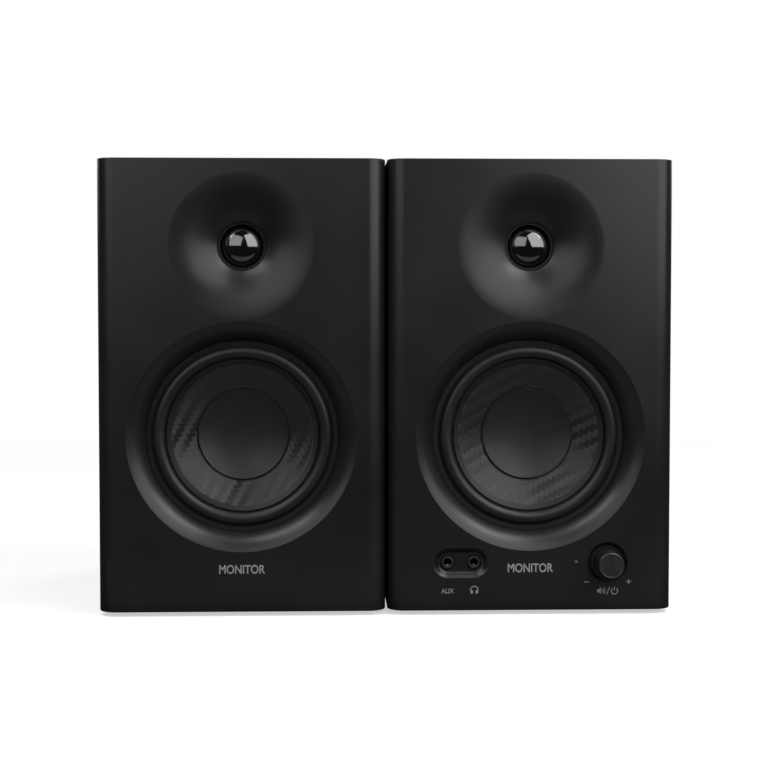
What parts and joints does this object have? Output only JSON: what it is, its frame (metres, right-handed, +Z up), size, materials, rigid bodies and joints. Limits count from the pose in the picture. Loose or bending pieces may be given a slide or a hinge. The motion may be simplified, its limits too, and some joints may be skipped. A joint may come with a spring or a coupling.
{
  "type": "desktop speakers",
  "caption": "Black two-way desktop monitor speakers with coned woofers in round recesses, dome tweeters in waveguides, a volume knob and jacks on the front, and rear ports.",
  "frame": {"origin": "middle of the pair's footprint, on the surface the feet stand on", "axes": "+X to the right seen from the front, from the passive to the active speaker; the fronts face -Y; +Z up"},
  "size_m": [0.288, 0.1976, 0.228],
  "materials": {
    "vinyl_wrap": "black vinyl wrap over board, fine grain",
    "satin_black": "satin black moulding",
    "black_rubber": "matt",
    "woven_cone": "black twill weave under a clear coat",
    "cap_plastic": "satin",
    "gloss_dome": "high gloss",
    "black_steel": "black paint, fine texture",
    "bare_steel": "plated",
    "ferrite": "matt",
    "coil_former": "enamelled winding on a former",
    "spider_cloth": "resin-treated cloth",
    "circuit_board": "solder mask",
    "socket_plastic": "moulded",
    "red_plastic": "moulded",
    "black_plastic": "moulded",
    "led_lens": "clear lens, unlit"
  },
  "bodies": {
    "active_speaker": {"active_cabinet": "vinyl_wrap", "active_front_baffle": "satin_black", "active_port_tube": "black_plastic", "active_tweeter_flange": "satin_black", "active_tweeter_magnet": "ferrite", "active_woofer_basket": "black_steel", "active_woofer_trim_ring": "satin_black", "active_woofer_surround": "black_rubber", "active_woofer_spider": "spider_cloth", "active_woofer_magnet": "ferrite", "active_woofer_yoke": "bare_steel", "active_foot_front_left": "black_rubber", "active_foot_front_right": "black_rubber", "active_foot_rear_left": "black_rubber", "active_foot_rear_right": "black_rubber", "active_terminal_cup": "socket_plastic", "rear_panel": "black_steel", "encoder_body": "bare_steel", "aux_jack": "socket_plastic", "headphone_jack": "socket_plastic", "status_led": "led_lens", "balanced_jack_left": "socket_plastic", "balanced_jack_right": "socket_plastic", "line_input_block": "socket_plastic", "power_inlet": "socket_plastic", "amplifier_board": "circuit_board"},
    "passive_speaker": {"passive_cabinet": "vinyl_wrap", "passive_front_baffle": "satin_black", "passive_port_tube": "black_plastic", "passive_tweeter_flange": "satin_black", "passive_tweeter_magnet": "ferrite", "passive_woofer_basket": "black_steel", "passive_woofer_trim_ring": "satin_black", "passive_woofer_surround": "black_rubber", "passive_woofer_spider": "spider_cloth", "passive_woofer_magnet": "ferrite", "passive_woofer_yoke": "bare_steel", "passive_foot_front_left": "black_rubber", "passive_foot_front_right": "black_rubber", "passive_foot_rear_left": "black_rubber", "passive_foot_rear_right": "black_rubber", "passive_terminal_cup": "socket_plastic", "crossover_board": "circuit_board"},
    "passive_woofer_assembly": {"passive_woofer_cone": "woven_cone", "passive_woofer_dust_cap": "cap_plastic", "passive_woofer_voice_coil": "coil_former"},
    "passive_tweeter_diaphragm": {"passive_tweeter_dome": "gloss_dome"},
    "passive_lever_red": {"passive_terminal_lever_red": "red_plastic"},
    "passive_lever_black": {"passive_terminal_lever_black": "black_plastic"},
    "active_woofer_assembly": {"active_woofer_cone": "woven_cone", "active_woofer_dust_cap": "cap_plastic", "active_woofer_voice_coil": "coil_former"},
    "active_tweeter_diaphragm": {"active_tweeter_dome": "gloss_dome"},
    "active_lever_red": {"active_terminal_lever_red": "red_plastic"},
    "active_lever_black": {"active_terminal_lever_black": "black_plastic"},
    "volume_plunger": {"encoder_plunger": "black_plastic"},
    "volume_control": {"volume_knob": "satin_black", "encoder_shaft": "bare_steel"},
    "treble_control": {"treble_knob": "black_plastic"},
    "bass_control": {"bass_knob": "black_plastic"}
  },
  "joints": [
    {"name": "passive_speaker_spacing", "type": "slide", "parent": "active_speaker", "child": "passive_speaker", "axis": [-1, 0, 0], "range_m": [0, 0.04]},
    {"name": "passive_woofer_travel", "type": "slide", "parent": "passive_speaker", "child": "passive_woofer_assembly", "axis": [0, -1, 0], "range_m": [-0.003, 0.003], "stiffness_N_per_m": 1500, "deforming": ["passive_woofer_surround", "passive_woofer_spider"]},
    {"name": "passive_tweeter_travel", "type": "slide", "parent": "passive_speaker", "child": "passive_tweeter_diaphragm", "axis": [0, -1, 0], "range_m": [-0.0003, 0.0003], "stiffness_N_per_m": 2000},
    {"name": "active_woofer_travel", "type": "slide", "parent": "active_speaker", "child": "active_woofer_assembly", "axis": [0, -1, 0], "range_m": [-0.003, 0.003], "stiffness_N_per_m": 1500, "deforming": ["active_woofer_surround", "active_woofer_spider"]},
    {"name": "active_tweeter_travel", "type": "slide", "parent": "active_speaker", "child": "active_tweeter_diaphragm", "axis": [0, -1, 0], "range_m": [-0.0003, 0.0003], "stiffness_N_per_m": 2000},
    {"name": "volume_push", "type": "slide", "parent": "active_speaker", "child": "volume_plunger", "axis": [0, 1, 0], "range_m": [0, 0.001], "stiffness_N_per_m": 800, "springref_m": -0.002},
    {"name": "volume_turn", "type": "hinge", "parent": "volume_plunger", "child": "volume_control", "pos_m": [0.11125, -0.08575, 0.026], "axis": [0, 1, 0], "continuous": true},
    {"name": "treble_turn", "type": "hinge", "parent": "active_speaker", "child": "treble_control", "pos_m": [0.05025, 0.08875, 0.141], "axis": [0, -1, 0], "range_deg": [-150, 150]},
    {"name": "bass_turn", "type": "hinge", "parent": "active_speaker", "child": "bass_control", "pos_m": [0.09425, 0.08875, 0.141], "axis": [0, -1, 0], "range_deg": [-150, 150]},
    {"name": "passive_lever_red_press", "type": "hinge", "parent": "passive_speaker", "child": "passive_lever_red", "pos_m": [-0.08325, 0.08775, 0.0855], "axis": [-1, 0, 0], "range_deg": [0, 20], "stiffness_Nm_per_rad": 0.2, "springref_deg": -17.19},
    {"name": "passive_lever_black_press", "type": "hinge", "parent": "passive_speaker", "child": "passive_lever_black", "pos_m": [-0.06125, 0.08775, 0.0855], "axis": [-1, 0, 0], "range_deg": [0, 20], "stiffness_Nm_per_rad": 0.2, "springref_deg": -17.19},
    {"name": "active_lever_red_press", "type": "hinge", "parent": "active_speaker", "child": "active_lever_red", "pos_m": [0.06125, 0.08775, 0.0615], "axis": [-1, 0, 0], "range_deg": [0, 20], "stiffness_Nm_per_rad": 0.2, "springref_deg": -17.19},
    {"name": "active_lever_black_press", "type": "hinge", "parent": "active_speaker", "child": "active_lever_black", "pos_m": [0.08325, 0.08775, 0.0615], "axis": [-1, 0, 0], "range_deg": [0, 20], "stiffness_Nm_per_rad": 0.2, "springref_deg": -17.19}
  ]
}
